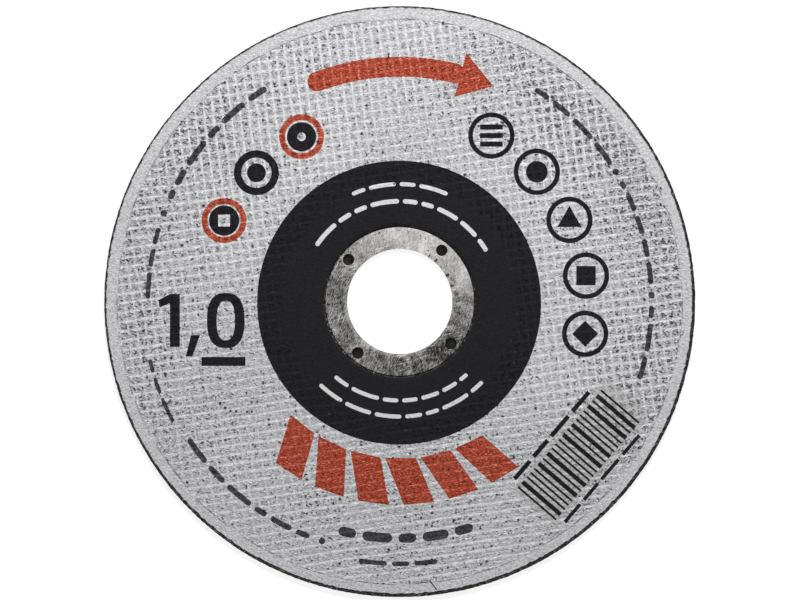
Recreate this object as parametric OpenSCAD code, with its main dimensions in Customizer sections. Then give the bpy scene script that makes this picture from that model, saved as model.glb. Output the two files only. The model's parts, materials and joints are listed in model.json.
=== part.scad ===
// Flat cut-off wheel for an angle grinder: a thin resin-bonded abrasive disc with glass mesh
// moulded in, a paper label pressed on its front and a drawn sheet-metal ring in its bore.
// It lies on its back face. The bore is the Z axis, and the back face is at z = 0.

/* [Wheel] */
// Outside diameter of the wheel
wheel_d = 125; // [80:0.5:230]
// Thickness over both faces, label included
wheel_t = 1; // [0.8:0.1:3]
// Radius that rounds both edges of the cutting rim
rim_round = 0.12; // [0.05:0.01:0.2]

/* [Glass mesh] */
// Width of the plain margin between the cutting rim and the edge of the mesh
mesh_margin = 2.85; // [2:0.05:6]
// Width of the flat clamping band between the ring's flange and the mesh relief
clamp_w = 8.3; // [4:0.1:15]
// Distance from one strand of the mesh to the next
strand_pitch = 1.94; // [1.6:0.02:5]
// Width of a strand where it presses through the face
strand_w = 1; // [0.4:0.05:1.3]
// Height of the strands over the hollows between them
strand_h = 0.05; // [0.02:0.01:0.07]
// Lie of the strands under the label, in degrees from the X axis
front_lie = 8; // [-90:1:90]
// Lie of the strands on the back face, in degrees from the X axis
back_lie = -35; // [-90:1:90]

/* [Label] */
// Thickness of the paper label
label_t = 0.1; // [0.08:0.01:0.2]
// Distance from the cutting rim to the edge of the label, where the label is centred
label_setback = 0.45; // [0.4:0.05:1.8]
// How far the label is pasted off centre, to the right
label_shift_x = -0.11; // [-0.2:0.01:0.2]
// How far the label is pasted off centre, away from the viewer
label_shift_y = 0.2; // [-0.3:0.01:0.3]
// Width of the bare ring between the flange and the label
label_gap = 0.4; // [0.25:0.05:1.5]

/* [Hub ring] */
// Diameter of the bore
bore_d = 22.23; // [15:0.01:26]
// Thickness of the ring's sheet metal
sheet_t = 0.25; // [0.2:0.01:0.35]
// Width of the flange, from the bore to its outer edge
flange_w = 4.585; // [3.8:0.005:8]
// Radius that eases the flange's outer edge
flange_ease = 0.08; // [0.03:0.01:0.12]
// Inner radius of the bend between the flange and the collar
collar_bend = 0.2; // [0.1:0.01:0.3]
// Distance from the collar's end to the back face
collar_setback = 0.05; // [0:0.01:0.15]

/* [Anchor holes] */
// Number of pierced holes that key the ring in the wheel
anchor_count = 4; // [2:1:8]
// Diameter of a pierced hole
anchor_d = 2.2; // [1.4:0.05:2.6]
// Direction of the first hole, in degrees from the X axis
anchor_turn = 50.7; // [0:0.1:90]
// Width of flat flange left outside each hole
anchor_land = 0.25; // [0.15:0.01:0.5]
// Inner radius of the bend where the sheet is pushed in round a hole
anchor_bend = 0.1; // [0.05:0.01:0.15]
// Depth of a pierced hole's neck, from the top of the flange
anchor_depth = 0.55; // [0.48:0.01:0.65]

/* [Fits] */
// Clearance between the ring's drawn walls and the wheel round them
ring_fit = 0.02; // [0.01:0.005:0.05]
// Width of the groove between the flange's edge and its seat
seat_gap = 0.2; // [0.05:0.01:0.24]

/* [Hidden] */
$fn = 128;

wheel_r = wheel_d / 2;
bore_r = bore_d / 2;
// Front face of the abrasive, where the label lies
face_z = wheel_t - label_t;

mesh_r = wheel_r - mesh_margin;
label_r = wheel_r - label_setback;
label_shift = [label_shift_x, label_shift_y];

// The flange's top is level with the label's, and its seat is one sheet lower
flange_r = bore_r + flange_w;
seat_r = flange_r + seat_gap;
seat_z = wheel_t - sheet_t;
label_hole_r = flange_r + label_gap;
clamp_r = flange_r + clamp_w;

// Outer faces of the drawn walls
collar_r = bore_r + sheet_t;
anchor_r = anchor_d / 2;
neck_r = anchor_r + sheet_t;
// Radius round a hole's axis where its rolled entry starts
entry_r = neck_r + anchor_bend;
anchor_circle_r = flange_r - anchor_land - entry_r;

strand_gap = strand_pitch - strand_w;
// Strands on each side of the centre line
strand_rows = ceil(mesh_r / strand_pitch);
// How far a cutter reaches past the face that it opens
overcut = 0.5;

// The sliver that a rounded corner takes away: its tip, the side that the body lies to, its radius
module corner_sliver(tip, side, radius) {
    difference() {
        translate(tip + [min(side[0], 0), min(side[1], 0)] * radius)
            square(radius);
        translate(tip + side * radius)
            circle(r = radius);
    }
}

// Places its children at each anchor hole
module at_anchors() {
    for (i = [0:anchor_count - 1])
        rotate(anchor_turn + i * 360 / anchor_count)
            translate([anchor_circle_r, 0, 0])
                children();
}

// Hollows between the strands, as seen from the front, over the whole mesh but the clamping band
module strand_hollows(lie) {
    intersection() {
        difference() {
            circle(r = mesh_r);
            circle(r = clamp_r);
        }
        rotate(lie)
            for (row = [-strand_rows:strand_rows - 1])
                translate([-mesh_r, row * strand_pitch + strand_w / 2])
                    square([2 * mesh_r, strand_gap]);
    }
}

// Half section of a hole drawn in the sheet: its wall down to end_z, and the bend that meets the flange
module drawn_wall(hole_r, bend, end_z) {
    roll = bend + sheet_t;
    translate([hole_r, end_z])
        square([sheet_t, wheel_t - roll - end_z]);
    translate([hole_r + roll, wheel_t - roll])
        intersection() {
            difference() {
                circle(r = roll);
                circle(r = bend);
            }
            translate([-roll, 0])
                square(roll);
        }
}

// Half section of the flat flange, with its outer edge eased
module flange_section() {
    inner_r = collar_r + collar_bend;
    difference() {
        translate([inner_r, seat_z])
            square([flange_r - inner_r, sheet_t]);
        corner_sliver([flange_r, wheel_t], [-1, -1], flange_ease);
    }
}

// Half section of the abrasive body: rounded rim, seat for the flange and room for the collar
module abrasive_section() {
    hole_r = collar_r + ring_fit;
    difference() {
        translate([hole_r, 0])
            square([wheel_r - hole_r, face_z]);
        corner_sliver([wheel_r, 0], [-1, 1], rim_round);
        corner_sliver([wheel_r, face_z], [-1, -1], rim_round);
        translate([0, seat_z])
            square([seat_r, wheel_t]);
        polygon([
            [hole_r, seat_z - collar_bend],
            [hole_r, seat_z],
            [hole_r + collar_bend, seat_z]
        ]);
    }
}

// Pocket that takes the neck of one anchor hole, widened where the neck bends into the flange
module anchor_pocket() {
    pocket_r = neck_r + ring_fit;
    floor_z = wheel_t - anchor_depth - ring_fit;
    translate([0, 0, floor_z])
        cylinder(r = pocket_r, h = seat_z + overcut - floor_z);
    translate([0, 0, seat_z - anchor_bend])
        cylinder(r1 = pocket_r, r2 = pocket_r + anchor_bend + overcut, h = anchor_bend + overcut);
}

module abrasive_disc() {
    color("dimgray")
        difference() {
            rotate_extrude()
                abrasive_section();
            at_anchors()
                anchor_pocket();
            translate([0, 0, -overcut])
                linear_extrude(height = overcut + strand_h)
                    strand_hollows(back_lie);
        }
}

module face_label() {
    color("lightgray")
        translate([0, 0, face_z])
            difference() {
                linear_extrude(height = label_t)
                    difference() {
                        translate(label_shift)
                            circle(r = label_r);
                        circle(r = label_hole_r);
                    }
                translate([0, 0, label_t - strand_h])
                    linear_extrude(height = strand_h + overcut)
                        strand_hollows(front_lie);
            }
}

module hub_ring() {
    color("darkgray") {
        difference() {
            rotate_extrude() {
                drawn_wall(bore_r, collar_bend, collar_setback);
                flange_section();
            }
            at_anchors()
                translate([0, 0, seat_z - overcut])
                    cylinder(r = entry_r, h = sheet_t + 2 * overcut);
        }
        at_anchors()
            rotate_extrude()
                drawn_wall(anchor_r, anchor_bend, wheel_t - anchor_depth);
    }
}

abrasive_disc();
face_label();
hub_ring();
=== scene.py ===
import json
import math
from collections import namedtuple

import bpy
import numpy as np
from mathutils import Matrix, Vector
from mathutils.geometry import delaunay_2d_cdt
from mathutils.kdtree import KDTree


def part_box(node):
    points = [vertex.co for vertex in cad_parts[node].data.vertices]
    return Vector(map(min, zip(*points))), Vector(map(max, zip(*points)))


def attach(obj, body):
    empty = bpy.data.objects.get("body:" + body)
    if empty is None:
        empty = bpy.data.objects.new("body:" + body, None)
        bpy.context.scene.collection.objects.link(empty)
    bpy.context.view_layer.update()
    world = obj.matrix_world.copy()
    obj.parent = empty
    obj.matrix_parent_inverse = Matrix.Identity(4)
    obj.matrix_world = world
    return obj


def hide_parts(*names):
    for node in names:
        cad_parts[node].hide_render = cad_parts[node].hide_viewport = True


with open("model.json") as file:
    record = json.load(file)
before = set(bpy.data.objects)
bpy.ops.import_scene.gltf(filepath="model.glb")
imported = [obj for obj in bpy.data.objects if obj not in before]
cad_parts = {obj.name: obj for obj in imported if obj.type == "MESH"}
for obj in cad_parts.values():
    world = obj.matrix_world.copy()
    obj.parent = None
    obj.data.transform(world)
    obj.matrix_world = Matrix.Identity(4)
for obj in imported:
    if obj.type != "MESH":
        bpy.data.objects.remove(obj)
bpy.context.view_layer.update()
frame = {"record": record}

# Lengths are in millimetres and angles in degrees, until a mesh, camera or lamp is made
MM = 0.001


def node_box(node):
    low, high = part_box(node)
    return np.array(low) / MM, np.array(high) / MM


# Sizes that the CAD solids give
DISC_LOW, DISC_HIGH = node_box("abrasive_disc")
LABEL_LOW, LABEL_HIGH = node_box("face_label")
RING_LOW, RING_HIGH = node_box("hub_ring")
WHEEL_R = np.abs([DISC_LOW[:2], DISC_HIGH[:2]]).min()
FACE_Z = DISC_HIGH[2]
TOP_Z = RING_HIGH[2]
LABEL_R = (LABEL_HIGH[0] - LABEL_LOW[0]) / 2
LABEL_CENTRE = (LABEL_LOW + LABEL_HIGH)[:2] / 2
FLANGE_R = (RING_HIGH[0] - RING_LOW[0]) / 2
COLLAR_Z = RING_LOW[2]
MOUNTS = {mount["name"]: mount for mount in frame["record"]["mounts"]}
BORE_R = MOUNTS["arbor_bore"]["dims"]["r_mm"]

# Sizes inside the solids, as the CAD source has them
RIM_ROUND = 0.12
MESH_R = WHEEL_R - 2.85
CLAMP_R = FLANGE_R + 8.3
LABEL_HOLE_R = FLANGE_R + 0.4
SEAT_R = FLANGE_R + 0.2
SHEET_T = 0.25
SEAT_Z = TOP_Z - SHEET_T
FLANGE_EASE = 0.08
COLLAR_BEND = 0.2
RING_FIT = 0.02
ANCHOR_COUNT = 4
ANCHOR_R = 1.1
ANCHOR_TURN = 50.7
ANCHOR_BEND = 0.1
ANCHOR_DEPTH = 0.55
ANCHOR_LAND = 0.25
COLLAR_R = BORE_R + SHEET_T
NECK_R = ANCHOR_R + SHEET_T
ENTRY_R = NECK_R + ANCHOR_BEND
ANCHOR_CIRCLE_R = FLANGE_R - ANCHOR_LAND - ENTRY_R

# Glass mesh: its yarns press through both faces
WARP_PITCH = 1.86
WEFT_PITCH = 1.94
YARN_HALF = 0.33
RELIEF_H = 0.055
FRONT_LIE = 8
BACK_LIE = -35

# Depth of the grit and pits in a face, and depth and half width of the groove at the mesh's edge
GRIT_H = 0.018
PIT_H = 0.022
MESH_EDGE_GROOVE = 0.05
MESH_EDGE_HALF = 0.09

# Mesh points to each pitch of the warp and of the weft
FRONT_SAMPLES = (5, 6)
BACK_SAMPLES = (5, 5)
PLAIN_SAMPLES = (3, 3)
# Step between points along an outline, and least gap from an outline to other points
OUTLINE_STEP = 0.33
OUTLINE_CLEAR = 0.17
# Points that are nearer than this become one
MERGE_DISTANCE = 1e-5
NOISE_CELLS = 256
# Lift of the face where no yarn or window shows
PLAIN_LIFT = 0.5

# Seeds of the random draws
FRONT_SEED = 20
BACK_SEED = 40
MESH_EDGE_SEED = 60
FRONT_RELIEF_SEED = 70
BACK_RELIEF_SEED = 71
RIM_SEED = 80
LABEL_EDGE_SEED = 84
RING_SEED = 90


def polar(radius, turn):
    """The point, or points, at that radius and angle from the X axis."""
    turn = np.radians(turn)
    return np.stack([radius * np.cos(turn), radius * np.sin(turn)], axis=-1)


def turn_of(points):
    """The angle of each point from the X axis."""
    return np.degrees(np.arctan2(points[:, 1], points[:, 0]))


def turned_axes(turn):
    """The X and Y axes after that turn, one in each row."""
    turn = math.radians(turn)
    return np.array([[math.cos(turn), math.sin(turn)], [-math.sin(turn), math.cos(turn)]])


def circle(radius, count, centre=(0, 0)):
    return polar(radius, np.arange(count) * 360 / count) + np.array(centre)


def points_round(radius):
    """How many points go round a circle at the outline step."""
    return int(math.ceil(2 * math.pi * radius / OUTLINE_STEP))


def smooth_step(low, high, value):
    t = np.clip((value - low) / (high - low), 0, 1)
    return t * t * (3 - 2 * t)


def bell(off, half):
    """1 at no distance, and fading out past that half width."""
    return np.exp(-((off / half) ** 2))


def near_turn(turn, at, half):
    """1 where the angle is the same, and fading out past that half width."""
    return bell((turn - at + 180) % 360 - 180, half)


def noise(points, size, seed):
    """Smooth noise from -1 to 1 with features of about that size."""
    grid = np.random.default_rng(seed).uniform(-1, 1, (NOISE_CELLS, NOISE_CELLS))
    cell = np.asarray(points) / size
    low = np.floor(cell).astype(int)
    x, y = np.moveaxis(smooth_step(0, 1, cell - low), -1, 0)
    i, j = np.moveaxis(low % NOISE_CELLS, -1, 0)
    i_next = (i + 1) % NOISE_CELLS
    j_next = (j + 1) % NOISE_CELLS
    near = grid[i, j] * (1 - x) + grid[i_next, j] * x
    far = grid[i, j_next] * (1 - x) + grid[i_next, j_next] * x
    return near * (1 - y) + far * y


def new_object(name, data):
    """An object in the scene with that mesh, lamp or camera."""
    obj = bpy.data.objects.new(name, data)
    bpy.context.collection.objects.link(obj)
    return obj


class Weave:
    """The glass mesh under one face: where its yarns run and how far they press through."""

    # How far the yarns stray sideways, and over what length
    WOBBLE = 0.22
    WOBBLE_SIZE = 11
    # Size of the patches where the yarns show more or less
    PATCH_SIZE = 17
    # How much more a yarn shows where it crosses over the other
    CROSSING = 0.22
    # Share of the weft's lift that the thinner yarn between two of the weft has
    PLY_SHARE = 0.5

    def __init__(self, lie, seed, samples, patchy=True):
        self.axes = turned_axes(lie)
        self.seed = seed
        self.samples = samples
        self.patchy = patchy

    def wobble(self, points):
        sideways = [noise(points, self.WOBBLE_SIZE, self.seed + k) for k in range(2)]
        return self.WOBBLE * np.stack(sideways, axis=-1)

    def lattice(self, inner_r, outer_r):
        """Points that follow the yarns, between two radii."""
        steps = (WARP_PITCH / self.samples[0], WEFT_PITCH / self.samples[1])
        ranges = [np.arange(-math.ceil(outer_r / s), math.ceil(outer_r / s) + 1) * s for s in steps]
        u, v = np.meshgrid(*ranges)
        points = np.stack([u.ravel(), v.ravel()], axis=-1) @ self.axes
        points = points + self.wobble(points)
        radius = np.hypot(*points.T)
        return points[(radius > inner_r) & (radius < outer_r)]

    def show(self, points):
        """How much the warp and the weft press through at each point, from 0 to 1."""
        warp, weft = [noise(points, self.PATCH_SIZE, self.seed + k) for k in (2, 3)]
        if not self.patchy:
            return 0.85 + 0.1 * warp, 0.88 + 0.1 * weft
        # The paper shows the warp more at the top and the weft more at the right
        x, y = points.T / WHEEL_R
        warp_lean = 0.28 * y - 0.105 * x
        weft_lean = 0.1 * x - 0.04 * y
        return (
            np.clip(0.62 + warp_lean + 0.3 * warp, 0.1, 0.95),
            np.clip(0.83 + weft_lean + 0.25 * weft, 0.35, 1),
        )

    def lift(self, points):
        """How much a yarn lifts the face at each point, from 0 to 1."""
        u, v = self.axes @ (points - self.wobble(points)).T
        warp_row = np.round(u / WARP_PITCH)
        weft_row = np.round(v / WEFT_PITCH)
        from_warp = u - warp_row * WARP_PITCH
        from_weft = v - weft_row * WEFT_PITCH
        over = self.CROSSING * np.cos(math.pi * (warp_row + weft_row))
        warp_show, weft_show = self.show(points)
        warp = bell(from_warp, YARN_HALF) * warp_show * (1 + over)
        weft = bell(from_weft, YARN_HALF) * weft_show * (1 - over)
        # A thinner yarn lies midway between two of the weft, and shows where the warp doesn't
        from_ply = np.abs(from_weft) - WEFT_PITCH / 2
        ply = bell(from_ply, YARN_HALF) * self.PLY_SHARE * weft_show * (1 - warp_show)
        return np.clip(np.maximum(np.maximum(warp, weft), ply), 0, 1)


def inside_loop(points, loop):
    """Which points lie inside a loop that goes round leftwards.
    Each ray from the loop's middle has to cross it once."""
    middle = loop.mean(axis=0)
    loop_turn, turn = [np.arctan2(y, x) for x, y in ((loop - middle).T, (points - middle).T)]
    order = np.argsort(loop_turn)
    ahead = np.searchsorted(loop_turn[order], turn)
    start = loop[order[ahead - 1]]
    end = loop[order[ahead % len(loop)]]
    (side_x, side_y), (x, y) = (end - start).T, (points - start).T
    return side_x * y - side_y * x > 0


class Shell:
    """A closed mesh put together from loops of points."""

    def __init__(self):
        self.points = []
        self.faces = []
        self.inks = []

    def add(self, flat, z, lift=PLAIN_LIFT, pit=0.0):
        """Adds points at that height, or heights, and returns their numbers."""
        flat = np.asarray(flat)
        first = len(self.points)
        rest = [np.broadcast_to(values, len(flat)) for values in (z, lift, pit)]
        self.points.extend(np.column_stack([flat, *rest]).tolist())
        return np.arange(first, first + len(flat))

    def wall(self, low, high, ink=0):
        """Quads between two loops with as many points, facing out for loops that go leftwards."""
        quads = np.stack([low, np.roll(low, -1), np.roll(high, -1), high], axis=-1)
        self.faces.extend(quads.tolist())
        self.inks.extend([ink] * len(quads))

    def sweep(self, loops, ink=0):
        for low, high in zip(loops, loops[1:]):
            self.wall(low, high, ink)

    def fill(self, loops, surface, inner=None, lines=(), up=True, ink_at=None):
        """Triangulates the area inside the first loop and outside the others, through the inner points
        and along the lines. surface gives the points' height, and lift and pit where they have one."""
        known = np.concatenate(loops)
        outlines = [np.array([self.points[i][:2] for i in loop]) for loop in loops]
        flat = list(outlines)
        edges = []
        first = 0
        for loop in [*loops, *lines]:
            turn = np.arange(first, first + len(loop))
            edges.extend(np.stack([turn, np.roll(turn, -1)], axis=-1).tolist())
            first += len(loop)
        flat.extend(lines)
        if inner is not None:
            flat.append(inner)
        flat = np.concatenate(flat)
        whole_hull = 0
        verts, _, tris, sources, _, _ = delaunay_2d_cdt(
            [Vector(p) for p in flat], edges, [], whole_hull, MERGE_DISTANCE, True
        )
        verts = np.array([v[:] for v in verts])
        tris = np.array(tris)
        middle = verts[tris].mean(axis=1)
        inside = inside_loop(middle, outlines[0])
        for hole in outlines[1:]:
            inside &= ~inside_loop(middle, hole)
        tris = tris[inside] if up else tris[inside][:, ::-1]
        numbers = np.full(len(verts), -1)
        for number, source in enumerate(sources):
            old = [s for s in source if s < len(known)]
            if old:
                numbers[number] = known[old[0]]
        fresh = np.unique(tris)
        fresh = fresh[numbers[fresh] < 0]
        numbers[fresh] = self.add(verts[fresh], *surface(verts[fresh]))
        self.faces.extend(numbers[tris].tolist())
        inks = ink_at(middle[inside]) if ink_at else np.zeros(len(tris), int)
        self.inks.extend(inks.tolist())

    def piece(self, name, materials, node):
        """Makes the Blender object, which takes the place of that CAD node."""
        points = np.array(self.points, dtype=np.float32)
        mesh = bpy.data.meshes.new(name)
        mesh.from_pydata((points[:, :3] * MM).tolist(), [], self.faces)
        for material in materials:
            mesh.materials.append(material)
        mesh.polygons.foreach_set("material_index", self.inks)
        mesh.polygons.foreach_set("use_smooth", np.ones(len(self.faces), bool))
        for column, channel in ((3, "lift"), (4, "pit")):
            attribute = mesh.attributes.new(channel, "FLOAT", "POINT")
            attribute.data.foreach_set("value", points[:, column].copy())
        mesh.update()
        obj = new_object(name, mesh)
        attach(obj, "root")
        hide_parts(node)


def clear_of(points, outlines, gap):
    """The points that are further than gap from every outline point."""
    near = np.concatenate(outlines)
    tree = KDTree(len(near))
    for i, (x, y) in enumerate(near):
        tree.insert((x, y, 0), i)
    tree.balance()
    far = [tree.find((x, y, 0))[2] > gap for x, y in points]
    return points[np.array(far)]


# Printed marks: an ink, the loops of its outline, and a test of which points it covers
Mark = namedtuple("Mark", "ink loops covers")
PAPER, BLACK, RED, WHITE, TINT, GREY = range(6)


def along(start, end):
    """Points on a straight line at the outline step, without its end."""
    start, end = np.array(start, float), np.array(end, float)
    count = max(int(np.linalg.norm(end - start) / OUTLINE_STEP), 1)
    return start + np.linspace(0, 1, count, endpoint=False)[:, None] * (end - start)


def polygon(ink, corners):
    """A convex patch whose corners go round leftwards."""
    corners = np.array(corners, float)
    ahead = np.roll(corners, -1, axis=0)
    loop = np.concatenate([along(a, b) for a, b in zip(corners, ahead)])

    def covers(points):
        inside = np.ones(len(points), bool)
        for (x, y), (x_next, y_next) in zip(corners, ahead):
            side = (x_next - x) * (points[:, 1] - y) - (y_next - y) * (points[:, 0] - x)
            inside &= side > 0
        return inside

    return Mark(ink, [loop], covers)


def bar(ink, centre, size, turn=0):
    """A straight bar, with its length along the turned X axis."""
    half = np.array(size) / 2
    corners = np.array([[-1, -1], [1, -1], [1, 1], [-1, 1]]) * half
    return polygon(ink, corners @ turned_axes(turn) + np.array(centre))


def disc(ink, centre, radius):
    centre = np.array(centre)
    least_points = 12
    return Mark(
        ink,
        [circle(radius, max(points_round(radius), least_points), centre)],
        lambda points: np.hypot(*(points - centre).T) < radius,
    )


def ring(ink, centre, radius, line):
    """A circle drawn with a line, whose outer edge has that radius."""
    centre = np.array(centre)

    def covers(points):
        away = np.hypot(*(points - centre).T)
        return (away < radius) & (away > radius - line)

    loops = [circle(r, points_round(r), centre) for r in (radius, radius - line)]
    return Mark(ink, loops, covers)


def oval_ring(ink, centre, outer, inner):
    """An upright oval outline with full sides, between two pairs of half sizes."""
    centre = np.array(centre, float)
    fullness = 2.5

    def loop(half):
        unit = circle(1, points_round(sum(half) / 2))
        return centre + np.sign(unit) * np.abs(unit) ** (2 / fullness) * half

    def within(points, half):
        return (np.abs((points - centre) / half) ** fullness).sum(axis=1) < 1

    def covers(points):
        return within(points, outer) & ~within(points, inner)

    return Mark(ink, [loop(outer), loop(inner)], covers)


def arc(ink, radius, width, start, end):
    """A band along a circle round the wheel's centre, with round ends."""
    half = width / 2
    middle = (start + end) / 2
    reach = abs(end - start) / 2 - math.degrees(half / radius)
    ends = [polar(radius, middle + side * reach) for side in (-1, 1)]
    steps = max(int(math.radians(2 * reach) * radius / OUTLINE_STEP), 2)
    turns = np.linspace(-reach, reach, steps) + middle
    cap_steps = 7
    cap = np.linspace(0, 180, cap_steps)[1:-1]
    loop = np.concatenate([
        polar(radius + half, turns),
        ends[1] + polar(half, middle + reach + cap),
        polar(radius - half, turns[::-1]),
        ends[0] + polar(half, middle - reach + 180 + cap),
    ])

    def covers(points):
        away = np.hypot(*points.T)
        off = np.abs((turn_of(points) - middle + 180) % 360 - 180)
        inside = (np.abs(away - radius) < half) & (off < reach)
        for end_point in ends:
            inside |= np.hypot(*(points - end_point).T) < half
        return inside

    return Mark(ink, [loop], covers)


def dash_row(ink, radius, start, end, height, gap, seed):
    """A row of dashes of uneven length along a circle, from start up to end."""
    shortest, longest = 2.6, 6.4
    # A stub at the end that is shorter than this is left out
    stub = 1.6 * height
    draw = np.random.default_rng(seed)
    degrees_per_mm = math.degrees(1 / radius)
    dashes = []
    turn = start
    while turn < end:
        length = draw.uniform(shortest, longest) * degrees_per_mm
        stop = min(turn + length, end)
        if stop - turn > stub * degrees_per_mm:
            dashes.append(arc(ink, radius, height, turn, stop))
        turn = stop + gap * degrees_per_mm
    return dashes


def ring_marks():
    """The two rows of round marks, each with a plain shape in it."""
    middle, row_r = np.array([-0.77, -0.08]), 40.5
    turns = 60.2 - 17.44 * np.arange(5)
    right_r, right_line = 4.9, 1.0
    left_r, left_line, left_inset = 4.75, 1.25, 0.3
    core_r = 3.2
    bars, spot, wedge, block, diamond = [middle + polar(row_r, turn) for turn in turns]
    washer, solid, framed = [middle + polar(row_r - left_inset, 180 - turn) for turn in turns[:3]]

    def outline(centre):
        return ring(BLACK, centre, right_r, right_line)

    return [
        outline(bars),
        *[bar(BLACK, bars + [0, y], (4.8, 1.1)) for y in (-1.8, 0, 1.8)],
        outline(spot),
        disc(BLACK, spot, 2.3),
        outline(wedge),
        polygon(BLACK, [wedge + polar(3.0, turn) for turn in (90, 210, 330)]),
        outline(block),
        bar(BLACK, block, (4.1, 4.1)),
        outline(diamond),
        bar(BLACK, diamond, (3.9, 3.9), 45),
        ring(RED, washer, left_r, left_line),
        ring(BLACK, washer, 3.1, 2.2),
        disc(BLACK, solid, left_r),
        ring(PAPER, solid, core_r, 1.2),
        ring(RED, framed, left_r, left_line),
        disc(BLACK, framed, core_r),
        bar(PAPER, framed, (2.5, 2.5)),
    ]


def size_number():
    """The plain thickness number at the left, over a bar."""
    stem_x, base_y, height, line = -47.51, -9.57, 11.15, 2.1
    top_y = base_y + height
    stem_left = stem_x - line / 2
    flag = [(stem_left, top_y), (-51.0, 0.3), (-50.7, -1.25), (stem_left, -0.35)]
    point = [(-45.2, -11.6), (-43.8, -11.6), (-42.2, -7.1), (-44.1, -7.1)]
    return [
        bar(BLACK, (stem_x, base_y + height / 2), (line, height)),
        polygon(BLACK, flag),
        polygon(BLACK, point),
        oval_ring(BLACK, (-36.75, -4.0), (3.98, 5.83), (1.93, 4.17)),
        bar(BLACK, (-37.25, -12.66), (9.3, 1.9)),
    ]


def turn_arrow():
    """The red arrow at the top, along the wheel's turn."""
    radius, width = 49.6, 4.2
    tip, neck, tail, barb, overlap = 66.5, 75.0, 113, 9.6, 1
    head = [
        polar(radius - barb / 2, neck),
        polar(radius, tip),
        polar(radius + barb / 2, neck),
    ]
    return [
        arc(RED, radius, width, neck - overlap, tail),
        polygon(RED, head),
    ]


def slant_stripes():
    """The red slanted stripes along an arc under the black centre."""
    inner_r, outer_r, wide, slant = 33.2, 43.0, 11.2, 6.5
    count, first, pitch = 6, 226, 12.9
    stripes = []
    for i in range(count):
        start = first + pitch * i
        corners = [
            polar(inner_r, start),
            polar(outer_r, start + slant),
            polar(outer_r, start + slant + wide * inner_r / outer_r),
            polar(inner_r, start + wide),
        ]
        stripes.append(polygon(RED, corners))
    return stripes


def bar_block():
    """Plain bars on a tinted patch at the lower right, between two rows of dashes."""
    turn, radius = -40.6, 49.8
    length, wide = 10.6, 27.4
    thin, thick, gap, most_bars = 0.45, 0.95, 0.72, 60
    patch_off, patch_longer, patch_wider = 0.9, 1, 3.6
    dash_gap, dash_heights = 1.7, (0.95, 0.75)
    # Place along the row and length of each dash
    dashes = ((-10.2, 5.0), (-4.2, 4.6), (2.0, 5.6), (8.8, 5.4))
    outward = polar(1, turn)
    sideways = polar(1, turn + 90)
    middle = outward * radius
    marks = [bar(TINT, middle + sideways * patch_off, (length + patch_longer, wide + patch_wider), turn)]
    offset = -wide / 2
    for i in range(most_bars):
        width = thick if i % 2 and i % 3 else thin
        if offset + width > wide / 2:
            break
        centre = middle + sideways * (offset + width / 2)
        marks.append(bar(BLACK, centre, (length, width), turn))
        offset += width + gap
    for side, height in zip((-1, 1), dash_heights):
        centre = outward * (radius + side * (length / 2 + dash_gap))
        marks += [bar(BLACK, centre + sideways * at, (size, height), turn + 90) for at, size in dashes]
    return marks


def text_places():
    """Rows of dashes and dots round the rim, below the stripes and in the black centre."""
    rim_r, dot_r = 53.2, 0.7
    gap, wide_gap, narrow_gap = 1.1, 1.3, 0.8
    # Ink, radius, first and last angle, height of the dashes and gap between them
    rows = [
        (GREY, rim_r, 122, 156, 1.3, gap),
        (GREY, rim_r, 163, 180, 1.0, gap),
        (GREY, rim_r + 1, 193, 208, 0.8, gap),
        (GREY, rim_r, 213, 249, 1.2, gap),
        (GREY, rim_r, 33, 57.5, 1.1, gap),
        (GREY, rim_r, 4, 28.5, 1.1, gap),
        (GREY, rim_r, -18, -1, 1.1, gap),
        (GREY, 50.0, 255, 288, 2.0, wide_gap),
        (GREY, 55.4, 261, 280, 1.0, gap),
        (WHITE, 24.8, 66, 114, 0.85, narrow_gap),
        (WHITE, 21.2, 30, 150, 0.95, narrow_gap),
        (WHITE, 20.9, 229, 313, 0.85, narrow_gap),
        (WHITE, 24.3, 226, 316, 0.85, narrow_gap),
    ]
    marks = []
    for seed, row in enumerate(rows, start=1):
        marks += dash_row(*row, seed)
    return marks + [disc(GREY, polar(rim_r, turn), dot_r) for turn in (31, 1.5, 159.5, 252)]


def printed_marks():
    """Every mark on the label. A later one covers an earlier one."""
    centre_field = disc(BLACK, (-0.14, -0.24), 30)
    paper_crease = bar(BLACK, (7.05, -59.9), (2.5, 0.24), -52)
    return [
        centre_field,
        *text_places(),
        *ring_marks(),
        *size_number(),
        *turn_arrow(),
        *slant_stripes(),
        *bar_block(),
        paper_crease,
    ]


FRONT_WEAVE = Weave(FRONT_LIE, FRONT_SEED, FRONT_SAMPLES)
BACK_WEAVE = Weave(BACK_LIE, BACK_SEED, BACK_SAMPLES, patchy=False)


def mesh_edge(points):
    """Strength of the uneven line that the edge of the mesh leaves, from 0 to 1."""
    stray, stray_size, break_size = 0.12, 6, 1.7
    edge_r = MESH_R + stray * noise(points, stray_size, MESH_EDGE_SEED)
    unbroken = np.clip(0.5 + 0.7 * noise(points, break_size, MESH_EDGE_SEED + 1), 0.05, 1)
    return bell(np.hypot(*points.T) - edge_r, MESH_EDGE_HALF) * unbroken


def face_wear(points):
    """How worn the windows of the mesh are: most near the rim, at the sides and at the upper right."""
    radius = np.hypot(*points.T)
    outward = smooth_step(36, 57, radius)
    sideways = smooth_step(0.1, 0.8, np.abs(points[:, 0]) / radius)
    upward = smooth_step(-50, -5, points[:, 1])
    worst = 0.5 * near_turn(turn_of(points), at=42, half=20)
    return outward * (sideways * upward + worst)


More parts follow.
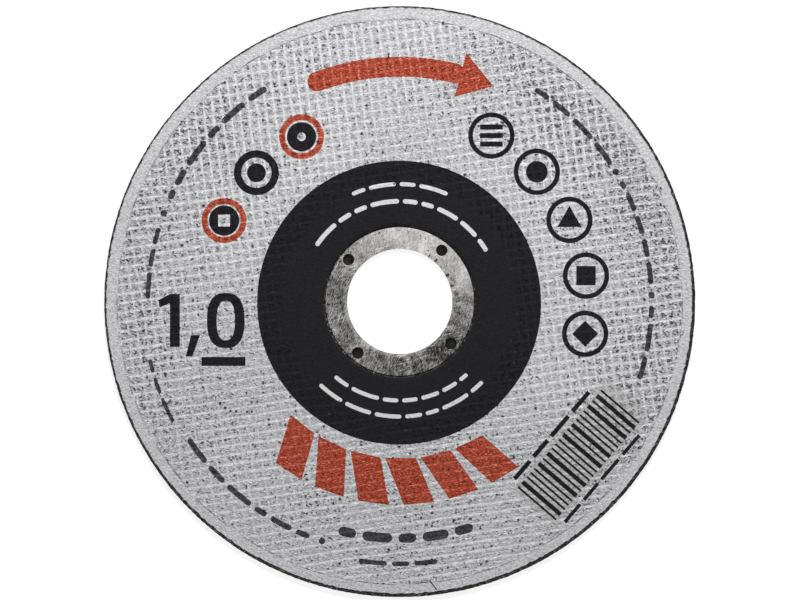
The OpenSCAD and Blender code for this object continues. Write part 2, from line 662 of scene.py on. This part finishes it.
def face_relief(points, weave, seed):
    """Depth under the face, lift from -1 in a groove to 1 on a yarn, and pits from 0 to 1."""
    patch_size = 8
    radius = np.hypot(*points.T)
    past_clamp = smooth_step(CLAMP_R - 0.5, CLAMP_R + 2.5, radius)
    zone = past_clamp * (1 - smooth_step(MESH_R - 0.2, MESH_R, radius))
    lift = weave.lift(points)
    worn = face_wear(points)
    edge = mesh_edge(points)
    draw = np.random.default_rng(seed)
    grit = draw.random(len(points))
    # Grains tear out of the windows of the mesh
    share = 0.1 + 0.24 * worn + 0.12 * noise(points, patch_size, seed + 1)
    window = 1 - smooth_step(0.25, 0.6, lift)
    pit = zone * (draw.random(len(points)) < share) * window
    in_zone = RELIEF_H * (1 - lift) + GRIT_H * grit * (1 - 0.8 * lift) + PIT_H * pit
    depth = zone * in_zone + (1 - zone) * MESH_EDGE_GROOVE * edge
    # Wear darkens the windows, and painted shade darkens the groove
    lift = lift - 0.15 * worn * (1 - lift)
    return depth, zone * lift + (1 - zone) * PLAIN_LIFT - 1.5 * edge, pit


def edge_lines():
    """Loops that carry the groove at the edge of the mesh."""
    return [circle(MESH_R + off, points_round(MESH_R)) for off in (-0.2, -0.07, 0.07, 0.2)]


def chipped(radius, count, bite, wave, seed, centre=(0, 0)):
    """A circle with waves and chips up to that deep, which bite inwards and never stand proud."""
    large_size, small_size, wave_size = 1.1, 0.45, 0.55
    flat = circle(radius, count, centre)
    large = 1.2 * np.maximum(noise(flat, large_size, seed) - 0.35, 0)
    small = np.maximum(noise(flat, small_size, seed + 1) - 0.4, 0)
    waves = 0.5 + 0.5 * noise(flat, wave_size, seed + 2)
    inset = bite * np.minimum(large + small, 1) + wave * waves
    return flat - (flat - centre) / radius * inset[:, None]


def make_label(materials):
    shell = Shell()
    marks = printed_marks()
    outer_count = points_round(LABEL_R)
    inner_count = points_round(LABEL_HOLE_R)
    ease = 0.03
    # The cut edge of the paper is drawn dark: partly its own dark edge, partly painted shade
    dark_edge_lift, clean = -0.8, 0.16
    # The cut strays to both sides of the CAD edge
    stray, bite, wave = 0.05, 0.14, 0.25
    cut_edge = chipped(LABEL_R + stray, outer_count, bite, wave, LABEL_EDGE_SEED, LABEL_CENTRE)
    outer = [
        shell.add(cut_edge, FACE_Z, dark_edge_lift),
        shell.add(cut_edge, TOP_Z - ease, dark_edge_lift),
        shell.add(cut_edge - circle(ease, outer_count), TOP_Z, dark_edge_lift),
        shell.add(cut_edge - circle(clean, outer_count), TOP_Z),
    ]
    inner = [
        shell.add(circle(LABEL_HOLE_R + ease, inner_count), TOP_Z),
        shell.add(circle(LABEL_HOLE_R, inner_count), TOP_Z - ease),
        shell.add(circle(LABEL_HOLE_R, inner_count), FACE_Z),
    ]
    shell.sweep(outer)
    shell.sweep(inner, BLACK)
    lines = edge_lines() + [loop for mark in marks for loop in mark.loops]
    plain = Weave(FRONT_LIE, FRONT_SEED, PLAIN_SAMPLES)
    lattice = np.concatenate([
        FRONT_WEAVE.lattice(CLAMP_R, MESH_R - 0.3),
        plain.lattice(LABEL_HOLE_R + 0.3, CLAMP_R),
        plain.lattice(MESH_R + 0.4, LABEL_R - 0.9),
    ])

    def ink_at(points):
        inks = np.full(len(points), PAPER)
        for mark in marks:
            inks[mark.covers(points)] = mark.ink
        return inks

    def face(points):
        depth, lift, pit = face_relief(points, FRONT_WEAVE, FRONT_RELIEF_SEED)
        return TOP_Z - depth, lift, pit

    shell.fill(
        [outer[-1], inner[0]],
        surface=face,
        inner=clear_of(lattice, lines, OUTLINE_CLEAR),
        lines=lines,
        ink_at=ink_at,
    )
    shell.fill([outer[0], inner[-1]], surface=lambda points: (FACE_Z,), up=False)
    shell.piece("printed_label", materials, "face_label")


def anchor_centres():
    return [polar(ANCHOR_CIRCLE_R, ANCHOR_TURN + i * 360 / ANCHOR_COUNT) for i in range(ANCHOR_COUNT)]


def rough_loop(shell, radius, z, count, seed, bite):
    """A loop on the broken grain of the rim, where the loops share their larger chips."""
    edge = chipped(radius, count, bite, 0.8 * bite, RIM_SEED)
    grain = 0.4 * bite * np.random.default_rng(seed).random(count) ** 3
    return shell.add(edge - circle(1, count) * grain[:, None], z)


def make_rim(shell, count):
    """Loops up the rim and in over its torn front edge, where the label ends."""
    middle = FACE_Z / 2
    shoulder, shoulder_z = 0.03, RIM_ROUND * 0.6
    # Inset from the outside radius, height and bite of each loop
    profile = [
        (RIM_ROUND, 0, 0.05),
        (shoulder, shoulder_z, 0.08),
        (0, middle * 0.5, 0.12),
        (0, middle, 0.12),
        (0, middle * 1.5, 0.12),
        (shoulder, FACE_Z - shoulder_z, 0.08),
    ]
    loops = [
        rough_loop(shell, WHEEL_R - inset, z, count, seed, bite)
        for seed, (inset, z, bite) in enumerate(profile, start=1)
    ]
    dip_h, dip_seed, front_seed, front_bite = 0.05, 10, 20, 0.1
    for i, inset in enumerate((RIM_ROUND, 0.3, 0.5, 0.7, 0.9)):
        dip = dip_h * np.random.default_rng(dip_seed + i).random(count) ** 2
        loops.append(rough_loop(shell, WHEEL_R - inset, FACE_Z - dip, count, front_seed + i, front_bite))
    front_edge_inset = 1.2
    return [*loops, shell.add(circle(WHEEL_R - front_edge_inset, count), FACE_Z)]


def make_disc(material):
    shell = Shell()
    rim_count = 1500
    hub_count = 360
    pocket_count = 48
    hole_r = COLLAR_R + RING_FIT
    pocket_r = NECK_R + RING_FIT
    rim = make_rim(shell, rim_count)
    shell.sweep(rim)
    seat = [
        shell.add(circle(SEAT_R, hub_count), FACE_Z),
        shell.add(circle(SEAT_R, hub_count), SEAT_Z),
    ]
    shell.sweep(seat)
    hole = [
        shell.add(circle(hole_r + COLLAR_BEND, hub_count), SEAT_Z),
        shell.add(circle(hole_r, hub_count), SEAT_Z - COLLAR_BEND),
        shell.add(circle(hole_r, hub_count), 0),
    ]
    shell.sweep(hole)
    floor_z = TOP_Z - ANCHOR_DEPTH - RING_FIT
    mouths = []
    for centre in anchor_centres():
        # Painted shade: the pocket's walls and floor count as pits, which the abrasive draws dark
        pocket = [
            shell.add(circle(pocket_r + ANCHOR_BEND, pocket_count, centre), SEAT_Z),
            shell.add(circle(pocket_r, pocket_count, centre), SEAT_Z - ANCHOR_BEND, pit=1.0),
            shell.add(circle(pocket_r, pocket_count, centre), floor_z, pit=1.0),
        ]
        shell.sweep(pocket)
        shell.fill([pocket[-1]], surface=lambda points: (floor_z, PLAIN_LIFT, 1.0))
        mouths.append(pocket[0])
    shell.fill([rim[-1], seat[0]], surface=lambda points: (FACE_Z,))
    shell.fill([seat[1], hole[0], *mouths], surface=lambda points: (SEAT_Z,))
    lines = edge_lines()
    plain = Weave(BACK_LIE, BACK_SEED, PLAIN_SAMPLES)
    lattice = np.concatenate([
        BACK_WEAVE.lattice(CLAMP_R, MESH_R - 0.3),
        plain.lattice(hole_r + 0.3, CLAMP_R),
        plain.lattice(MESH_R + 0.4, WHEEL_R - 0.5),
    ])
    shell.fill(
        [rim[0], hole[-1]],
        surface=lambda points: face_relief(points, BACK_WEAVE, BACK_RELIEF_SEED),
        inner=clear_of(lattice, lines, OUTLINE_CLEAR),
        lines=lines,
        up=False,
    )
    shell.piece("bonded_disc", [material], "abrasive_disc")


# Nicks in the rolled edge of the bore: angle, half width in degrees and depth
BORE_NICKS = ((48.7, 1.6, 0.3), (29.0, 1.9, 0.28), (16.6, 1.2, 0.22), (57.0, 0.9, 0.16))
# Painted light and shade in patches on the ring's plating: angle, half width in degrees and how much
# brighter
PAINTED_RING_PATCHES = ((334, 22, -0.2), (180, 14, -0.14), (266, 12, -0.08), (88, 20, 0.1), (290, 10, 0.08))


def nicked_circle(radius, count, share=1.0):
    """A circle that bites outwards at each nick of the bore's edge, by that share of its depth."""
    turn = np.arange(count) * 360 / count
    bite = sum(depth * near_turn(turn, at, half) for at, half, depth in BORE_NICKS)
    return polar(radius + share * bite, turn)


def nick_shade(points):
    """Painted shade in the nicks of the bore's edge: 1 on the nicks, 0 away from them."""
    turn = turn_of(points)
    return sum(near_turn(turn, at, half) for at, half, _ in BORE_NICKS)


def ring_painted_light_and_stains(points):
    """How bright the plating is drawn, from about 0 to 1, with stains.
    Painted light and shade make it brightest at the upper right and dullest at the lower right."""
    stain_size = 4
    turn = turn_of(points)
    from_bore = np.hypot(*points.T) - BORE_R
    # Painted light and shade by angle, and in painted patches
    light = 0.33 * np.cos(np.radians(turn - 70)) + 0.13 * np.cos(np.radians(2 * turn - 90))
    light += sum(more * near_turn(turn, at, half) for at, half, more in PAINTED_RING_PATCHES)
    # Painted highlight: the rolled edge of the bore glints, most of all at the lower left
    painted_glint = bell(from_bore - 0.4, 0.4) * (0.1 + 0.2 * np.cos(np.radians(turn - 240)))
    # Painted shade: a dull crescent beside the bore, at the right
    shaded_crescent = -0.22 * bell(from_bore - 1.2, 0.8) * near_turn(turn, 18, 34)
    return 0.42 + light + painted_glint + shaded_crescent + 0.1 * noise(points, stain_size, RING_SEED + 1)


def bend(radius, base_z, roll, steps, count, outline=circle, centre=(0, 0)):
    """Loops round a bend, from its wall up to its flat.
    radius is the wall's, base_z the bend's centre and roll the bend's radius."""
    loops = []
    for turn in np.linspace(0, 90, steps):
        out = roll * (1 - math.cos(math.radians(turn)))
        rise = roll * math.sin(math.radians(turn))
        flat = outline(radius + out, count)
        loops.append((flat + np.array(centre), base_z + rise))
    return loops


def flange_points(inner_r):
    """A grid of points on the flange's flat, clear of its edges and of the anchor holes."""
    step = 0.3
    x, y = np.meshgrid(*[np.arange(-FLANGE_R, FLANGE_R, step)] * 2)
    points = np.stack([x.ravel(), y.ravel()], axis=-1)
    away = np.hypot(*points.T)
    clear = (away > inner_r + 0.5) & (away < FLANGE_R - 0.3)
    for centre in anchor_centres():
        clear &= np.hypot(*(points - centre).T) > ENTRY_R + 0.15
    return points[clear]


def make_ring(material):
    shell = Shell()
    count = 720
    hole_count = 64
    steps = 8
    small_steps = 4
    # The nicks fade out down the wall of the bore
    nick_below, nick_share = 0.12, 0.4
    uneven_h, uneven_size = 0.012, 2.3
    roll = COLLAR_BEND + SHEET_T
    bore = [
        (nicked_circle(BORE_R, count, 0.0), COLLAR_Z),
        (nicked_circle(BORE_R, count, nick_share), TOP_Z - roll - nick_below),
        *bend(BORE_R, TOP_Z - roll, roll, steps, count, nicked_circle),
    ]
    # The pit attribute on the bore paints shade in the nicks
    bore = [shell.add(flat, z, ring_painted_light_and_stains(flat), nick_shade(flat)) for flat, z in bore]
    ease = []
    for turn in np.radians(np.linspace(0, 90, small_steps)):
        radius = FLANGE_R - FLANGE_EASE + FLANGE_EASE * math.sin(turn)
        ease.append((circle(radius, count), TOP_Z - FLANGE_EASE * (1 - math.cos(turn))))
    ease.append((circle(FLANGE_R, count), SEAT_Z))
    ease = [shell.add(flat, z, ring_painted_light_and_stains(flat)) for flat, z in ease]
    back = [
        (circle(COLLAR_R, count), COLLAR_Z),
        *bend(COLLAR_R, SEAT_Z - COLLAR_BEND, COLLAR_BEND, steps, count),
    ]
    back = [shell.add(flat, z) for flat, z in back]
    shell.sweep(bore[::-1])
    shell.sweep(ease[::-1])
    shell.sweep(back)
    shell.wall(bore[0], back[0])
    entries, undersides = [], []
    entry_roll = ANCHOR_BEND + SHEET_T
    neck_end = TOP_Z - ANCHOR_DEPTH
    # Painted shade: the walls of the anchor holes are drawn dark below this height
    shade_below = TOP_Z - SHEET_T / 2
    for centre in anchor_centres():
        inside = [
            (circle(ANCHOR_R, hole_count, centre), neck_end),
            *bend(ANCHOR_R, TOP_Z - entry_roll, entry_roll, steps, hole_count, centre=centre),
        ]
        outside = [
            (circle(NECK_R, hole_count, centre), neck_end),
            *bend(NECK_R, SEAT_Z - ANCHOR_BEND, ANCHOR_BEND, small_steps, hole_count, centre=centre),
        ]
        inside = [shell.add(flat, z, ring_painted_light_and_stains(flat), float(z < shade_below)) for flat, z in inside]
        outside = [shell.add(flat, z) for flat, z in outside]
        shell.sweep(inside[::-1])
        shell.sweep(outside)
        shell.wall(inside[0], outside[0])
        entries.append(inside[-1])
        undersides.append(outside[-1])

    def top(points):
        dip = uneven_h * (1 + noise(points, uneven_size, RING_SEED))
        return TOP_Z - dip, ring_painted_light_and_stains(points)

    shell.fill(
        [ease[0], bore[-1], *entries],
        surface=top,
        inner=flange_points(BORE_R + roll),
    )
    shell.fill([ease[-1], back[-1], *undersides], surface=lambda points: (SEAT_Z,), up=False)
    shell.piece("drawn_ring", [material], "hub_ring")


def even(value):
    """A grey, as a node's colour."""
    return (value, value, value, 1)


class Graph:
    """A node material with one Principled shader."""

    def __init__(self, name):
        self.material = bpy.data.materials.new(name)
        self.material.use_nodes = True
        self.tree = self.material.node_tree
        self.shader = self.tree.nodes["Principled BSDF"]
        # Position in millimetres
        self.place = self.scaled(self.add("ShaderNodeTexCoord").outputs["Object"], 1 / MM)

    def add(self, kind, inputs=None, **settings):
        node = self.tree.nodes.new(kind)
        for name, value in settings.items():
            setattr(node, name, value)
        for name, value in (inputs or {}).items():
            self.set(node.inputs[name], value)
        return node

    def set(self, socket, value):
        if isinstance(value, bpy.types.NodeSocket):
            self.tree.links.new(value, socket)
        else:
            socket.default_value = value

    def scaled(self, vector, factor):
        node = self.add("ShaderNodeVectorMath", {0: vector, "Scale": factor}, operation="SCALE")
        return node.outputs[0]

    def vector(self, operation, a, b):
        return self.add("ShaderNodeVectorMath", {0: a, 1: b}, operation=operation).outputs[0]

    def noise(self, size, detail=3.0, roughness=0.55, place=None):
        node = self.add("ShaderNodeTexNoise", {
            "Vector": place or self.place, "Scale": 1 / size, "Detail": detail, "Roughness": roughness,
        })
        return node.outputs["Fac"]

    def cells(self, size, place=None):
        return self.add("ShaderNodeTexVoronoi", {"Vector": place or self.place, "Scale": 1 / size})

    def cell_value(self, cells):
        """A random value from 0 to 1 for each cell."""
        return self.add("ShaderNodeSeparateColor", {0: cells.outputs["Color"]}).outputs[0]

    def stretched(self, turn, along, across):
        """Position with features that much longer and wider, along a line at that angle."""
        node = self.add("ShaderNodeMapping", {
            "Vector": self.place, "Rotation": (0, 0, math.radians(turn)), "Scale": (along, across, 1.0),
        }, vector_type="TEXTURE")
        return node.outputs[0]

    def ramp(self, value, low, high, to_low=0.0, to_high=1.0):
        node = self.add("ShaderNodeMapRange", {
            "Value": value, "From Min": low, "From Max": high, "To Min": to_low, "To Max": to_high,
        })
        return node.outputs[0]

    def math(self, operation, a, b):
        return self.add("ShaderNodeMath", {0: a, 1: b}, operation=operation).outputs[0]

    def mix(self, factor, a, b):
        node = self.add("ShaderNodeMix", {"Factor": factor}, data_type="RGBA")
        self.set(node.inputs[6], a)
        self.set(node.inputs[7], b)
        return node.outputs[2]

    def attribute(self, name):
        return self.add("ShaderNodeAttribute", attribute_name=name).outputs["Fac"]

    def bump(self, height, distance, strength=1.0):
        node = self.add("ShaderNodeBump", {
            "Height": height, "Distance": distance * MM, "Strength": strength,
        })
        self.set(self.shader.inputs["Normal"], node.outputs[0])

    def finish(self, colour, roughness, metallic=0.0, specular=0.5):
        self.set(self.shader.inputs["Base Color"], colour)
        self.set(self.shader.inputs["Roughness"], roughness)
        self.set(self.shader.inputs["Metallic"], metallic)
        self.set(self.shader.inputs["Specular IOR Level"], specular)
        return self.material


def specks(graph, size, share, radius):
    """Scattered specks of uneven size and outline: 1 in a speck, 0 outside.
    That share of the cells of that size has one, with at most that radius."""
    ragged_size, ragged_by = 0.35, 0.55
    ragged = graph.add("ShaderNodeTexNoise", {
        "Vector": graph.place, "Scale": 1 / ragged_size, "Detail": 2.0,
    })
    shift = graph.scaled(graph.vector("SUBTRACT", ragged.outputs["Color"], (0.5, 0.5, 0.5)), ragged_by)
    cells = graph.cells(size, graph.vector("ADD", graph.place, shift))
    reach = graph.ramp(graph.cell_value(cells), 1 - share, 1, 0, radius / size)
    gap = graph.math("SUBTRACT", reach, cells.outputs["Distance"])
    return graph.ramp(gap, -0.02, 0.05)


def print_material(name, dark, light, painted_highlight, highlight_share, pit, roughness):
    """Paper or ink over the pressed mesh: darker in the windows, partly as painted shade, lighter on the
    yarns, with grain, painted highlights and pits. highlight_share is how far the highlight streaks go
    towards the highlight's colour."""
    mottle_size, grain_size, fine_size = 0.9, 0.4, 0.26
    dark_edge_and_shade = even(0.02)
    graph = Graph(name)
    lift = graph.attribute("lift")
    mottle = graph.noise(mottle_size, detail=3.0, roughness=0.6)
    grain = graph.noise(grain_size, detail=1.5, roughness=0.6)
    fine = graph.cell_value(graph.cells(fine_size))
    # The yarns stay smooth between the grain in the windows
    bare = graph.ramp(lift, 0.05, 0.75, 1.0, 0.3)
    rough = graph.ramp(grain, 0.25, 0.75, -0.4, 0.4)
    rough = graph.math("ADD", rough, graph.ramp(fine, 0, 1, -0.38, 0.32))
    # Darker windows: partly dirt, partly painted shade in the hollows between the yarns
    tone = graph.ramp(lift, 0, 1, 0.22, 0.84)
    tone = graph.math("ADD", tone, graph.ramp(mottle, 0.3, 0.7, -0.12, 0.12))
    tone = graph.math("ADD", tone, graph.math("MULTIPLY", bare, rough))
    colour = graph.mix(graph.ramp(tone, 0, 1), dark, light)
    # Painted highlights: short streaks and flecks on the crests of the yarns
    highlight_streak = graph.noise(1.0, detail=2.0, place=graph.stretched(FRONT_LIE, 1.1, 0.3))
    highlight_streak = graph.ramp(highlight_streak, 0.5, 0.62, 0.0, highlight_share)
    colour = graph.mix(graph.math("MULTIPLY", graph.ramp(lift, 0.5, 0.9), highlight_streak), colour, painted_highlight)
    highlight_flecks = specks(graph, size=0.62, share=0.2, radius=0.26)
    colour = graph.mix(graph.math("MULTIPLY", highlight_flecks, graph.ramp(lift, 0.5, 0.62)), colour, painted_highlight)
    # Shorter painted glints lie all over the face
    painted_glint = graph.noise(1.0, detail=2.0, place=graph.stretched(FRONT_LIE, 0.6, 0.22))
    colour = graph.mix(graph.ramp(painted_glint, 0.58, 0.66, 0.0, highlight_share), colour, painted_highlight)
    # Torn spots have ragged outlines, and the deepest are small dark dots between the yarns
    torn = graph.math("ADD", graph.attribute("pit"), graph.ramp(grain, 0.3, 0.7, 0.4, -0.4))
    torn = graph.math("ADD", torn, graph.ramp(fine, 0, 1, 0.2, -0.2))
    colour = graph.mix(graph.ramp(torn, 0.5, 0.9, 0.0, 0.8), colour, pit)
    dots = specks(graph, size=1.15, share=0.7, radius=0.36)
    colour = graph.mix(graph.math("MULTIPLY", dots, graph.ramp(lift, 0.49, 0.4, 0.0, 0.97)), colour, pit)
    # Painted shade darkens the groove at the mesh's edge, and the paper's cut edge is drawn dark
    colour = graph.mix(graph.ramp(lift, 0.1, -0.9), colour, dark_edge_and_shade)
    height = graph.math("SUBTRACT", grain, graph.ramp(torn, 0.4, 1.0, 0.0, 0.3))
    graph.bump(graph.math("MULTIPLY", height, bare), 0.3)
    spread = 0.08
    uneven = graph.ramp(mottle, 0.3, 0.7, roughness - spread, roughness + spread)
    return graph.finish(colour, uneven, specular=0.04)


def abrasive_material():
    """Dark grain in dark resin, with a paler cast along the glass yarns of the back."""
    grain_size, patch_size, grit_size = 0.36, 0.8, 0.18
    hollow = even(0.004)
    resin = (0.05, 0.049, 0.048, 1)
    bright_grain = (0.17, 0.165, 0.16, 1)
    glass = (0.16, 0.145, 0.11, 1)
    graph = Graph("bonded_abrasive")
    grain = graph.cells(grain_size)
    shade = graph.cell_value(grain)
    patch = graph.noise(patch_size, detail=2.0, roughness=0.6)
    tone = graph.math("ADD", shade, graph.ramp(patch, 0.35, 0.65, -0.8, 0.8))
    colour = graph.mix(graph.ramp(tone, 0, 1.2), hollow, resin)
    colour = graph.mix(graph.ramp(shade, 0.87, 0.95), colour, bright_grain)
    colour = graph.mix(graph.ramp(graph.attribute("lift"), 0.5, 0.95, 0.0, 0.6), colour, glass)
    # The pits go darker, and painted shade darkens the anchor pockets
    colour = graph.mix(graph.ramp(graph.attribute("pit"), 0.3, 1.0, 0.0, 0.8), colour, hollow)
    height = graph.math("SUBTRACT", graph.noise(grit_size, detail=2.0), grain.outputs["Distance"])
    graph.bump(height, 0.12, 0.8)
    return graph.finish(colour, graph.ramp(shade, 0, 1, 0.6, 0.95), specular=0.25)


def steel_material():
    """Dull plated sheet with stains, bright worn grain, fine pits and scratches."""
    stain_size, grain_turn = 2.2, 63
    # Angle of each set of scratches, and size of the patches where they show
    scratch_sets = ((66, 3.1), (12, 3.7))
    dull = (0.028, 0.026, 0.024, 1)
    bright = (0.72, 0.71, 0.69, 1)
    rust = (0.015, 0.013, 0.012, 1)
    hollow = (0.012, 0.011, 0.01, 1)
    graph = Graph("plated_sheet")
    stain = graph.noise(stain_size, detail=5.0, roughness=0.6)
    grain = graph.noise(1.0, detail=2.0, roughness=0.6, place=graph.stretched(grain_turn, 0.8, 0.2))
    scratches = []
    for turn, patch_size in scratch_sets:
        line = graph.noise(1.0, detail=2.0, place=graph.stretched(turn, 3.4, 0.22))
        line = graph.ramp(line, 0.5, 0.72)
        patch = graph.ramp(graph.noise(patch_size, detail=1.0), 0.45, 0.65)
        scratches.append(graph.math("MULTIPLY", line, patch))
    # The lift attribute holds the ring's tone, with its painted light and shade
    tone = graph.math("ADD", graph.attribute("lift"), graph.ramp(stain, 0.3, 0.7, -0.3, 0.3))
    tone = graph.math("ADD", tone, graph.ramp(grain, 0.35, 0.65, -0.32, 0.32))
    tone = graph.math("ADD", tone, graph.math("MULTIPLY", graph.math("ADD", *scratches), 0.85))
    colour = graph.mix(graph.ramp(tone, 0.0, 1.3), dull, bright)
    colour = graph.mix(specks(graph, size=0.55, share=0.16, radius=0.2), colour, rust)
    # Painted shade in the nicks of the bore and down the walls of the anchor holes
    colour = graph.mix(graph.ramp(graph.attribute("pit"), 0.3, 0.9), colour, hollow)
    graph.bump(graph.math("ADD", grain, scratches[0]), 0.05)
    return graph.finish(colour, graph.ramp(grain, 0.3, 0.7, 0.38, 0.6), metallic=1.0)


def make_materials():
    """The label's materials, in the order of the inks."""
    paper = print_material(
        "label_paper", dark=(0.35, 0.35, 0.363, 1), light=(0.8, 0.8, 0.823, 1),
        painted_highlight=(0.95, 0.95, 0.96, 1), highlight_share=0.9, pit=even(0.05), roughness=0.62,
    )
    black = print_material(
        "label_black", dark=(0.0115, 0.0112, 0.0128, 1), light=(0.0226, 0.0222, 0.0245, 1),
        painted_highlight=even(0.045), highlight_share=0.2, pit=even(0.007), roughness=0.5,
    )
    red = print_material(
        "label_red", dark=(0.305, 0.033, 0.015, 1), light=(0.5, 0.095, 0.052, 1),
        painted_highlight=(0.78, 0.3, 0.22, 1), highlight_share=0.95, pit=(0.15, 0.026, 0.016, 1), roughness=0.55,
    )
    white = print_material(
        "label_white", dark=even(0.66), light=even(0.8),
        painted_highlight=even(0.8), highlight_share=0.3, pit=even(0.2), roughness=0.55,
    )
    tint = print_material(
        "label_tint", dark=even(0.37), light=(0.66, 0.66, 0.65, 1),
        painted_highlight=even(0.8), highlight_share=0.4, pit=even(0.2), roughness=0.62,
    )
    grey = print_material(
        "label_grey", dark=(0.03, 0.03, 0.032, 1), light=(0.08, 0.08, 0.084, 1),
        painted_highlight=even(0.3), highlight_share=0.3, pit=even(0.018), roughness=0.55,
    )
    return [paper, black, red, white, tint, grey]


def background_rays(tree):
    """1 for rays from the camera, a reflection or a clear piece, which see a white background."""
    seen = tree.nodes.new("ShaderNodeLightPath")
    test = seen.outputs["Is Camera Ray"]
    for name in ("Is Glossy Ray", "Is Transmission Ray"):
        either = tree.nodes.new("ShaderNodeMath")
        either.operation = "MAXIMUM"
        tree.links.new(test, either.inputs[0])
        tree.links.new(seen.outputs[name], either.inputs[1])
        test = either.outputs[0]
    return test


def make_floor():
    """A plain white floor, which shows white to the camera and still takes the wheel's shadow."""
    half, z = 1.5, -0.00005
    mesh = bpy.data.meshes.new("floor")
    corners = [(x * half, y * half, z) for x, y in ((-1, -1), (1, -1), (1, 1), (-1, 1))]
    mesh.from_pydata(corners, [], [(0, 1, 2, 3)])
    floor = new_object("floor", mesh)
    material = bpy.data.materials.new("floor_white")
    material.use_nodes = True
    tree = material.node_tree
    tree.nodes.clear()
    output = tree.nodes.new("ShaderNodeOutputMaterial")
    matte = tree.nodes.new("ShaderNodeBsdfDiffuse")
    matte.inputs["Color"].default_value = even(0.3)
    glow = tree.nodes.new("ShaderNodeEmission")
    glow.inputs["Strength"].default_value = 0.84
    both = tree.nodes.new("ShaderNodeAddShader")
    choose = tree.nodes.new("ShaderNodeMixShader")
    link = tree.links.new
    link(matte.outputs[0], both.inputs[0])
    link(glow.outputs[0], both.inputs[1])
    link(background_rays(tree), choose.inputs[0])
    link(matte.outputs[0], choose.inputs[1])
    link(both.outputs[0], choose.inputs[2])
    link(choose.outputs[0], output.inputs[0])
    mesh.materials.append(material)


def make_world():
    """White to the camera and in reflections, and a low even light on the object."""
    world = bpy.data.worlds.new("studio")
    bpy.context.scene.world = world
    world.use_nodes = True
    tree = world.node_tree
    back = tree.nodes["Background"]
    back.inputs["Color"].default_value = even(1)
    level = tree.nodes.new("ShaderNodeMapRange")
    level.inputs["To Min"].default_value = 0.24
    level.inputs["To Max"].default_value = 1.0
    tree.links.new(background_rays(tree), level.inputs["Value"])
    tree.links.new(level.outputs[0], back.inputs["Strength"])


def make_lamp(name, place, size, watts, glare):
    """A square soft lamp that looks at the wheel's centre.
    It lights either matt faces or the glare on shiny ones."""
    lamp = bpy.data.lights.new(name, "AREA")
    lamp.size = size
    lamp.energy = watts
    obj = new_object(name, lamp)
    obj.location = place
    obj.rotation_euler = (-Vector(place)).to_track_quat("-Z", "Y").to_euler()
    obj.visible_glossy = glare
    obj.visible_diffuse = not glare


def make_camera():
    """Straight down on the face, with the wheel as large and as placed as in the photograph."""
    image_w, image_h = 800, 600
    wheel_x, wheel_y, wheel_px = 399.75, 301.55, 295.85
    mm_per_px = WHEEL_R / wheel_px
    height = 1.2
    data = bpy.data.cameras.new("camera")
    data.sensor_width = 36.0
    data.lens = data.sensor_width * (height - TOP_Z * MM) / (image_w * mm_per_px * MM)
    camera = new_object("camera", data)
    camera.location = (
        (image_w / 2 - wheel_x) * mm_per_px * MM,
        (wheel_y - image_h / 2) * mm_per_px * MM,
        height,
    )
    bpy.context.scene.camera = camera


make_camera()
make_label(make_materials())
make_disc(abrasive_material())
make_ring(steel_material())
make_floor()
make_world()
make_lamp("key", place=(0.045, 0.4, 0.31), size=0.12, watts=2.8, glare=False)
make_lamp("key_glare", place=(0.1, 0.33, 0.26), size=0.1, watts=0.4, glare=True)
bpy.context.scene.view_settings.view_transform = "Standard"
